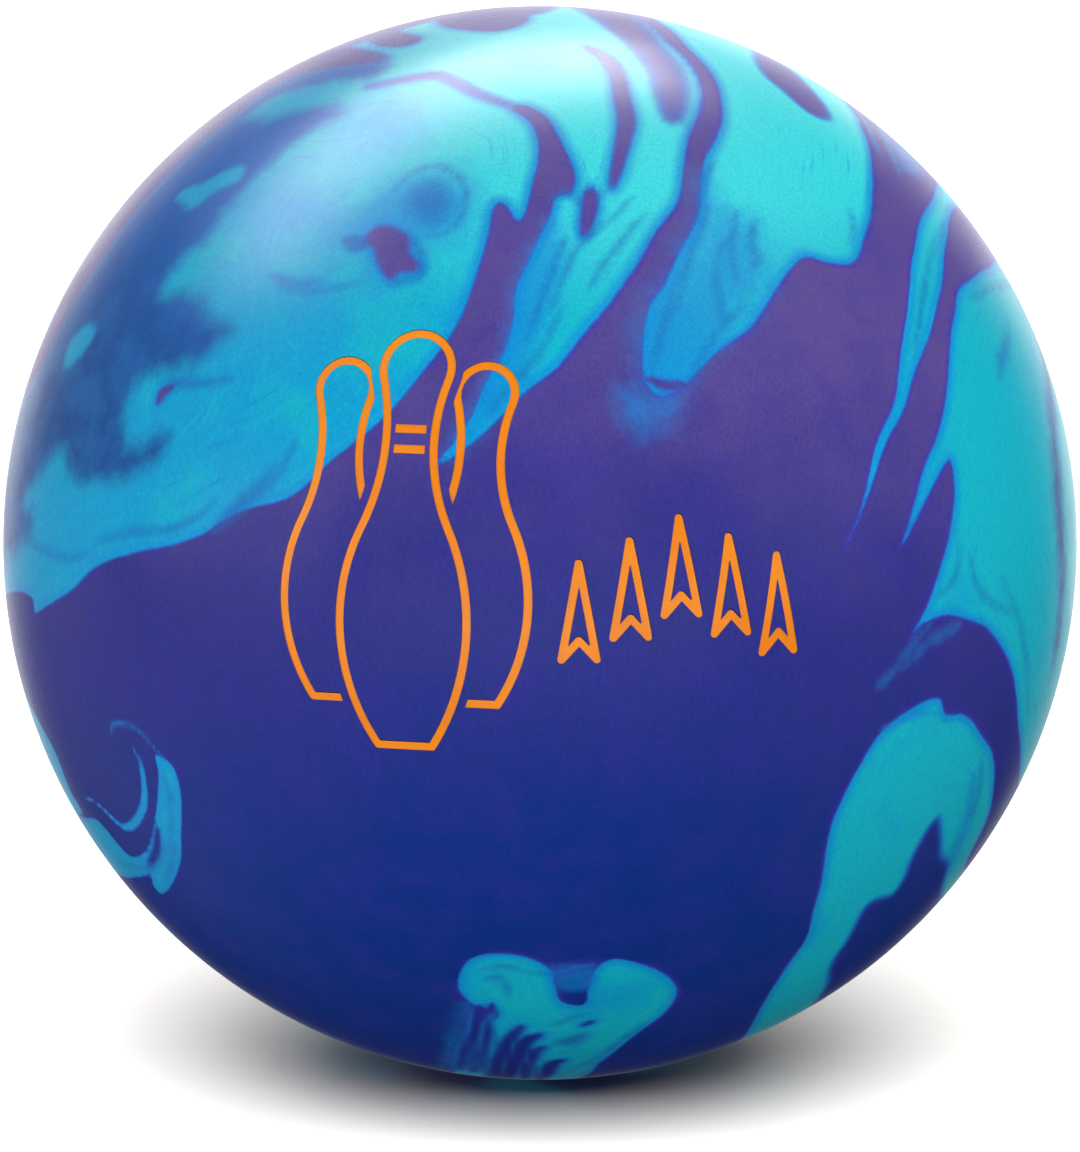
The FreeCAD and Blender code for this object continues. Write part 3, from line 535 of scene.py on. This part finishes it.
def cutter(nodes):
    """One object that cuts the places of these CAD nodes out of the cover, each run out past the surface."""
    vertices, faces = [], []
    count = 0
    for name in nodes:
        mesh = frame["nodes"][name].data
        part = bmesh.new()
        part.from_mesh(mesh)
        bmesh.ops.remove_doubles(part, verts=part.verts, dist=1e-6)
        places = np.array([vertex.co for vertex in part.verts])
        radii = np.linalg.norm(places, axis=1)
        outer = radii > (radii.max() + radii.min()) / 2
        axis = unit(places[outer].mean(axis=0) - places[~outer].mean(axis=0))
        places[outer] += axis * CUT_RUN_OUT
        faces += [[vertex.index + count for vertex in face.verts] for face in part.faces]
        vertices.append(places)
        count += len(places)
        part.free()
    return mesh_object("cutter", np.concatenate(vertices), np.array(faces, dtype=object))


def cover_blank():
    towards = side_axes(FRONT)[1]
    outer, outer_quads = cube_sphere(SURFACE_STEPS)
    inner, inner_quads = cube_sphere(CAVITY_STEPS)
    outer = gathered(outer, towards, FRONT_GATHERING) * BALL_RADIUS
    vertices = np.concatenate([outer, inner * FILLER_RADIUS])
    faces = np.concatenate([outer_quads, inner_quads[:, ::-1] + len(outer)])
    return mesh_object("swirled_cover", vertices, faces)


def round_off(cover):
    """Shades the outer and inner surfaces as true spheres, and leaves groove walls and bores flat."""
    mesh = cover.data
    places = np.zeros(len(mesh.vertices) * 3)
    mesh.vertices.foreach_get("co", places)
    places = places.reshape(-1, 3)
    radii = np.linalg.norm(places, axis=1)
    normals = np.zeros((len(mesh.loops), 3))
    for face in mesh.polygons:
        corners = list(face.vertices)
        loops = list(face.loop_indices)
        if radii[corners].min() > BALL_RADIUS - 0.03 * MM:
            normals[loops] = places[corners]
        elif np.abs(radii[corners] - FILLER_RADIUS).max() < 0.2 * MM:
            normals[loops] = -places[corners]
        else:
            normals[loops] = face.normal
    mesh.normals_split_custom_set(unit(normals).tolist())


def paint(cover):
    """Writes the swirl's fields on the cover's vertices, for its material to read."""
    mesh = cover.data
    places = np.zeros(len(mesh.vertices) * 3)
    mesh.vertices.foreach_get("co", places)
    directions = unit(places.reshape(-1, 3))
    field, edge = painted(wander(directions, 12, 0.8, seed=3))
    facing = directions @ side_axes(FRONT)[1] + 0.3 * bumps(directions, 45, seed=7)
    behind = np.clip((0.10 - facing) / 0.30, 0, 1)
    behind = behind * behind * (3 - 2 * behind)
    wild = behind > 0
    wild_share = behind[wild]
    wild_edge, wild_field = marbled(directions[wild])
    edge[wild] += (wild_edge - edge[wild]) * wild_share
    for colour, values in field.items():
        values[wild] += (wild_field[colour] - values[wild]) * wild_share
    for name, values in {**field, "edge": edge}.items():
        made = mesh.attributes.new(name, "FLOAT", "POINT")
        made.data.foreach_set("value", values.astype(np.float32))


def make_cover():
    cover = cover_blank()
    tools = cutter([name for name in frame["nodes"] if name.startswith(("emblem", "balance", "core", "locator"))])
    cut = cover.modifiers.new("engravings", "BOOLEAN")
    cut.object = tools
    cut.operation = "DIFFERENCE"
    cut.solver = "EXACT"
    depsgraph = bpy.context.evaluated_depsgraph_get()
    mesh = bpy.data.meshes.new_from_object(cover.evaluated_get(depsgraph))
    cover.modifiers.clear()
    cover.data = mesh
    bpy.data.objects.remove(tools)
    for face in mesh.polygons:
        face.use_smooth = True
    paint(cover)
    round_off(cover)
    return cover


# ---- materials -----------------------------------------------------------------------------------------
def srgb(red, green, blue):
    """A linear colour from 0 to 255 display values."""
    def linear(value):
        share = value / 255
        return share / 12.92 if share <= 0.04045 else ((share + 0.055) / 1.055) ** 2.4

    return linear(red), linear(green), linear(blue), 1.0


class Graph:
    """A material's nodes. Each method adds one node and returns its output."""

    def __init__(self, name):
        self.material = bpy.data.materials.new(name)
        self.material.use_nodes = True
        self.nodes = self.material.node_tree.nodes
        self.links = self.material.node_tree.links
        self.shader = self.nodes["Principled BSDF"]
        self.place = self.add("ShaderNodeTexCoord", {}).outputs["Object"]

    def add(self, kind, inputs, **settings):
        made = self.nodes.new(kind)
        for key, value in settings.items():
            setattr(made, key, value)
        for key, value in inputs.items():
            self.put(made.inputs[key], value)
        return made

    def put(self, socket, value):
        if isinstance(value, bpy.types.NodeSocket):
            self.links.new(value, socket)
        else:
            socket.default_value = value

    def field(self, name):
        return self.add("ShaderNodeAttribute", {}, attribute_name=name).outputs["Fac"]

    def math(self, operation, *values):
        made = self.add("ShaderNodeMath", dict(enumerate(values)), operation=operation)
        return made.outputs[0]

    def noise(self, size, detail=3.0, roughness=0.5, stretch=None, distortion=0.0):
        """Noise with features of about this many millimetres, from 0 to 1."""
        place = self.place
        if stretch is not None:
            place = self.add("ShaderNodeMapping", {"Vector": place, **stretch}).outputs[0]
        values = {
            "Vector": place,
            "Scale": 1 / (size * MM),
            "Detail": detail,
            "Roughness": roughness,
            "Distortion": distortion,
        }
        return self.add("ShaderNodeTexNoise", values).outputs["Fac"]

    def smooth(self, value, low, high, start=0.0, end=1.0):
        values = {"Value": value, "From Min": low, "From Max": high, "To Min": start, "To Max": end}
        return self.add("ShaderNodeMapRange", values, interpolation_type="SMOOTHSTEP").outputs[0]

    def mix(self, share, first, second):
        made = self.add("ShaderNodeMix", {0: share, 6: first, 7: second}, data_type="RGBA")
        return made.outputs[2]

    def bump(self, height, strength, distance, normal=None):
        values = {"Height": height, "Strength": strength, "Distance": distance}
        if normal is not None:
            values["Normal"] = normal
        return self.add("ShaderNodeBump", values).outputs[0]

    def finish(self, **inputs):
        for key, value in inputs.items():
            self.put(self.shader.inputs[key.replace("_", " ")], value)
        return self.material


def coverstock_material():
    graph = Graph("swirled_coverstock")
    height = graph.add("ShaderNodeSeparateXYZ", {0: graph.place}).outputs["Z"]
    mottle = graph.noise(22, detail=4)
    grain = graph.noise(0.5, detail=2)

    # base resin, purple above and navy below
    right = graph.add("ShaderNodeSeparateXYZ", {0: graph.place}).outputs["X"]
    aside = graph.math("MULTIPLY_ADD", graph.math("ABSOLUTE", right), 0.25, -33 * MM)
    level = graph.math("ADD", height, graph.math("MULTIPLY_ADD", mottle, 50 * MM, aside))
    base = graph.mix(graph.smooth(level, -58 * MM, 14 * MM), srgb(16, 47, 127), srgb(46, 48, 128))
    base = graph.mix(graph.smooth(level, 2 * MM, 66 * MM), base, srgb(87, 71, 140))
    cloud = graph.noise(9, detail=5, roughness=0.6)
    base = graph.mix(graph.smooth(cloud, 0.35, 0.75, 0.0, 0.35), base, srgb(50, 46, 146))

    # teal with its blue edge, a painted highlight high up, and a violet glow outside it
    ragged = graph.math("MULTIPLY_ADD", graph.noise(2.6, detail=4, roughness=0.6), 0.8, -0.4)
    teal_field = graph.math("ADD", graph.field(TEAL), ragged)
    edge = graph.field("edge")
    tone = graph.math("MULTIPLY_ADD", right, 0.24 / BALL_RADIUS, graph.noise(18, detail=4))
    teal = graph.mix(graph.smooth(tone, 0.35, 0.65), srgb(12, 152, 200), srgb(18, 172, 192))
    # painted highlight: high on the ball, from a little left of the middle rightwards, the teal turns a brighter,
    # whiter cyan as if lit from above
    painted_highlight = graph.math("MULTIPLY", graph.smooth(height, 56 * MM, 82 * MM), graph.smooth(right, -52 * MM, 5 * MM))
    teal = graph.mix(painted_highlight, teal, srgb(50, 204, 212))
    teal = graph.mix(graph.smooth(edge, 0.3, 3.0), srgb(14, 142, 202), teal)
    streak_place = graph.add("ShaderNodeCombineXYZ", {"X": graph.math("MULTIPLY", edge, 1.1)}).outputs[0]
    drift = graph.add("ShaderNodeVectorMath", {0: graph.place, "Scale": 55.0}, operation="SCALE").outputs[0]
    streak_place = graph.add("ShaderNodeVectorMath", {0: streak_place, 1: drift}, operation="ADD").outputs[0]
    streak = graph.add(
        "ShaderNodeTexNoise", {"Vector": streak_place, "Scale": 1.0, "Detail": 4.0, "Roughness": 0.6}
    ).outputs["Fac"]
    patchy = graph.smooth(graph.noise(26, detail=2), 0.45, 0.65)
    dark_streak = graph.math("MULTIPLY", graph.smooth(streak, 0.56, 0.70), patchy)
    teal = graph.mix(graph.math("MULTIPLY", dark_streak, 0.5), teal, srgb(16, 120, 194))
    teal = graph.mix(graph.smooth(streak, 0.46, 0.30, 0.0, 0.25), teal, srgb(30, 190, 206))
    glow = graph.math("MULTIPLY", graph.smooth(teal_field, -2.4, -0.6, 0.0, 0.45), graph.smooth(tone, 0.4, 0.6))
    colour = graph.mix(glow, base, srgb(60, 50, 172))
    colour = graph.mix(graph.smooth(teal_field, -0.6, 0.3), colour, srgb(30, 92, 186))
    colour = graph.mix(graph.smooth(teal_field, -0.1, 1.0), colour, teal)

    # tints and smoke over the teal
    smoke = graph.math("MULTIPLY_ADD", graph.noise(5, detail=6, roughness=0.65), 3.0, -1.5)
    blue_field = graph.math("ADD", graph.field(BLUE), smoke)
    colour = graph.mix(graph.smooth(blue_field, -1.4, 1.4, 0.0, 0.6), colour, srgb(16, 122, 200))
    thread = graph.math("MULTIPLY_ADD", graph.noise(3.0, detail=3), 1.0, -0.5)
    streak_field = graph.math("ADD", graph.field(STREAK), thread)
    colour = graph.mix(graph.smooth(streak_field, -0.9, 1.1, 0.0, 0.75), colour, srgb(22, 96, 176))
    deep_field = graph.math("ADD", graph.field(DEEP), smoke)
    deep = graph.mix(graph.smooth(cloud, 0.35, 0.65), srgb(22, 74, 140), srgb(30, 92, 160))
    deep = graph.mix(graph.smooth(height, 30 * MM, 85 * MM, 0.0, 0.8), deep, srgb(34, 95, 178))
    colour = graph.mix(graph.smooth(deep_field, -1.6, 1.4), colour, deep)
    purple_field = graph.math("ADD", graph.field(PURPLE), ragged)
    colour = graph.mix(graph.smooth(purple_field, -0.9, 0.9), colour, base)

    # sanded finish: faint speckle in the colour, and fine scratches in two directions
    hatch = graph.noise(0.5, 2, stretch={"Scale": (1.0, 1.0, 0.3), "Rotation": (0.0, 0.8, 0.0)})
    tint = graph.smooth(graph.math("ADD", grain, hatch), 0.6, 1.4, 0.88, 1.10)
    colour = graph.add("ShaderNodeVectorMath", {0: colour, "Scale": tint}, operation="SCALE").outputs[0]
    scratch_a = graph.noise(0.35, 2, stretch={"Scale": (1.0, 1.0, 0.06), "Rotation": (0.5, 0.3, 0.9)})
    scratch_b = graph.noise(0.35, 2, stretch={"Scale": (0.06, 1.0, 1.0), "Rotation": (0.2, 0.7, 0.4)})
    scratches = graph.math("ADD", scratch_a, scratch_b)
    rough = graph.smooth(graph.math("ADD", scratches, mottle), 1.1, 1.9, 0.27, 0.38)
    normal = graph.bump(scratches, 0.12, 0.02 * MM)
    normal = graph.bump(grain, 0.15, 0.02 * MM, normal)
    return graph.finish(Base_Color=colour, Roughness=rough, Normal=normal, Specular_IOR_Level=0.1)


def cast_material(name, first, second, roughness, grain=0.8, speck=None):
    """Cast resin or filled plastic: two tones, pores or grains, and a slightly uneven skin."""
    graph = Graph(name)
    colour = graph.mix(graph.smooth(graph.noise(12, detail=5), 0.35, 0.65), first, second)
    fine = graph.noise(grain, detail=3, roughness=0.6)
    if speck is not None:
        colour = graph.mix(graph.smooth(fine, 0.60, 0.68), colour, speck)
    rough = graph.smooth(graph.noise(3, detail=4), 0.3, 0.7, roughness - 0.07, roughness + 0.07)
    normal = graph.bump(fine, 0.3, 0.06 * MM)
    return graph.finish(Base_Color=colour, Roughness=rough, Normal=normal)


MATERIALS = {
    "filler": lambda: cast_material(
        "filler_polyester", srgb(196, 188, 170), srgb(176, 168, 150), 0.72, 1.2, srgb(120, 112, 100)),
    "weight_block": lambda: cast_material(
        "weight_block_resin", srgb(40, 96, 176), srgb(30, 78, 156), 0.5, 0.9, srgb(150, 176, 214)),
    "flip_block": lambda: cast_material(
        "flip_block_resin", srgb(176, 46, 34), srgb(150, 34, 28), 0.62, 0.9, srgb(70, 30, 28)),
    "core_pin": lambda: cast_material("core_pin_resin", srgb(240, 136, 30), srgb(226, 120, 24), 0.4),
    "locator_pin": lambda: cast_material("locator_pin_resin", srgb(226, 226, 218), srgb(208, 208, 200), 0.4),
    "engraving_fill": lambda: cast_material("engraving_enamel", srgb(235, 134, 4), srgb(228, 126, 2), 0.36),
}


def dress_nodes():
    """Gives every CAD node that stays the material of its slot."""
    made = {slot: build() for slot, build in MATERIALS.items()}
    for part in frame["record"]["subparts"]:
        if part["material_slot"] in made:
            mesh = frame["nodes"][part["node"]].data
            mesh.materials.clear()
            mesh.materials.append(made[part["material_slot"]])


# ---- studio --------------------------------------------------------------------------------------------
def make_floor():
    """A round white floor whose far part glows: painted light, as if it ran up into a lit backdrop. The ball takes
    its light from the studio.
    """
    turns = np.linspace(0, 2 * math.pi, 97)[:-1]
    rim = np.stack([np.cos(turns), np.sin(turns), np.zeros(96)], axis=1) * FLOOR_RADIUS
    places = rim - (0, 0, BALL_RADIUS)
    floor = mesh_object("floor", places, np.arange(96)[None, :])
    graph = Graph("floor_paint")
    away = graph.add("ShaderNodeVectorMath", {0: graph.place}, operation="LENGTH").outputs["Value"]
    graph.finish(
        Base_Color=srgb(165, 163, 161),
        Roughness=0.9,
        Specular_IOR_Level=0.0,
        Emission_Color=(1, 1, 1, 1),
        # painted light: the floor glows from 0.6 m out, at full strength past 1.8 m
        Emission_Strength=graph.smooth(away, 0.6, 1.8, 0.0, 1.0),
    )
    floor.data.materials.append(graph.material)
    floor.visible_diffuse = False
    floor.visible_glossy = False


def make_backdrop():
    """A white studio wall all round, which gives no light of its own."""
    directions, quads = cube_sphere(8)
    backdrop = mesh_object("backdrop", directions * 8.0, quads)
    graph = Graph("backdrop_paint")
    graph.finish(Base_Color=(0, 0, 0, 1), Specular_IOR_Level=0.0, Emission_Color=(1, 1, 1, 1), Emission_Strength=1.0)
    backdrop.data.materials.append(graph.material)
    backdrop.visible_diffuse = False
    backdrop.visible_glossy = False
    backdrop.visible_shadow = False


FLOOR_RADIUS = 3.0


def softbox(name, place, aim, width, depth, radiance, colour=(1, 1, 1)):
    light = bpy.data.lights.new(name, "AREA")
    light.shape = "RECTANGLE"
    light.size, light.size_y = width, depth
    light.energy = radiance * math.pi * width * depth
    light.color = colour
    holder = bpy.data.objects.new(name, light)
    holder.location = place
    holder.rotation_euler = (Vector(aim) - Vector(place)).to_track_quat("-Z", "Y").to_euler()
    holder.visible_camera = False
    bpy.context.scene.collection.objects.link(holder)
    return holder


def make_world():
    """A studio that is bright low down behind the ball, and dim in front of it and below."""
    world = bpy.data.worlds.new("studio")
    bpy.context.scene.world = world
    world.use_nodes = True
    nodes, links = world.node_tree.nodes, world.node_tree.links
    direction = nodes.new("ShaderNodeTexCoord").outputs["Generated"]
    split = nodes.new("ShaderNodeSeparateXYZ")
    links.new(direction, split.inputs[0])

    def ramp(axis, low, high, start, end):
        made = nodes.new("ShaderNodeMapRange")
        made.interpolation_type = "SMOOTHSTEP"
        for key, setting in (("From Min", low), ("From Max", high), ("To Min", start), ("To Max", end)):
            made.inputs[key].default_value = setting
        links.new(split.outputs[axis], made.inputs["Value"])
        return made.outputs[0]

    def combine(operation, first, second):
        made = nodes.new("ShaderNodeMath")
        made.operation = operation
        links.new(first, made.inputs[0])
        links.new(second, made.inputs[1])
        return made.outputs[0]

    front = combine("MULTIPLY", ramp("Y", 0.2, 0.8, 1.0, 0.0), ramp("Z", -0.95, -0.5, 0.1, 1.0))
    front = combine("MULTIPLY", front, ramp("Z", -0.45, 0.05, LOW_FRONT_GLOW, FRONT_GLOW))
    back = combine("MULTIPLY", ramp("Y", 0.72, 0.97, 0.0, BACK_GLOW), ramp("Z", -0.45, -0.12, 0.05, 1.0))
    back = combine("MULTIPLY", back, ramp("Z", 0.05, 0.6, 1.0, 0.55))
    left = combine("MULTIPLY", ramp("X", -0.85, -0.35, LEFT_GLOW, 0.0), ramp("Z", 0.1, 0.7, 1.0, 0.0))
    glow = combine("ADD", combine("ADD", front, back), left)
    links.new(glow, nodes["Background"].inputs["Strength"])
    nodes["Background"].inputs["Color"].default_value = (1, 1, 1, 1)


FRONT_GLOW = 0.2
LOW_FRONT_GLOW = 0.2
BACK_GLOW = 2.2
LEFT_GLOW = 0.4


def make_lights():
    ball = bpy.data.collections.new("ball_only")
    floor = bpy.data.collections.new("floor_only")
    for thing in bpy.context.scene.objects:
        if thing.type == "MESH":
            (floor if thing.name in ("floor", "backdrop") else ball).objects.link(thing)
    overhead = softbox("overhead", (-0.38, 0.55, 1.1), (0, 0, 0), 1.8, 0.5, 20)
    overhead.visible_diffuse = False
    fills = [
        softbox("low_fill", (0, -1.78, -0.2), (0, 0, 0), 2.6, 0.5, 5.4),
        softbox("top_fill", (0.8, -0.1, 1.5), (0, 0, 0), 1.6, 1.2, 3.0),
        softbox("back_fill", (0.2, 1.6, 1.3), (0, 0, 0), 1.6, 1.0, 5.0),
        softbox("left_fill", (-2.0, -1.1, 0.3), (0, 0, 0), 1.2, 0.8, 6.5),
        softbox("right_fill", (2.0, -1.1, 0.3), (0, 0, 0), 1.2, 0.8, 5.5),
    ]
    for light in fills:
        light.visible_glossy = False
    for light in fills + [overhead]:
        light.light_linking.receiver_collection = ball
        light.light_linking.blocker_collection = ball
    floor_light = softbox("floor_light", (0, 1.0, 3.0), (0, 1.0, -0.1), 7, 7, 5.0)
    floor_light.light_linking.receiver_collection = floor
    floor_front = softbox("floor_front", (0, -2.0, 1.8), (0, 0, -0.1), 3.0, 2.0, 18)
    floor_front.light_linking.receiver_collection = floor


def make_camera():
    data = bpy.data.cameras.new("camera")
    data.lens = LENS
    data.sensor_width = SENSOR
    data.clip_end = 50
    camera = bpy.data.objects.new("camera", data)
    elevation = math.radians(CAMERA_ELEVATION)
    away = Vector((0, -math.cos(elevation), math.sin(elevation)))
    camera.location = away * CAMERA_DISTANCE
    drop = math.atan(BALL_ABOVE_MIDDLE * SENSOR / LENS)
    aim = Matrix.Rotation(-drop, 3, "X") @ (-away)
    camera.rotation_euler = aim.to_track_quat("-Z", "Y").to_euler()
    bpy.context.scene.collection.objects.link(camera)
    bpy.context.scene.camera = camera


cover = make_cover()
cover.data.materials.clear()
cover.data.materials.append(coverstock_material())
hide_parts("coverstock")
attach(cover, "root")
dress_nodes()
make_floor()
make_backdrop()
make_world()
make_lights()
make_camera()
bpy.context.scene.view_settings.view_transform = "Standard"
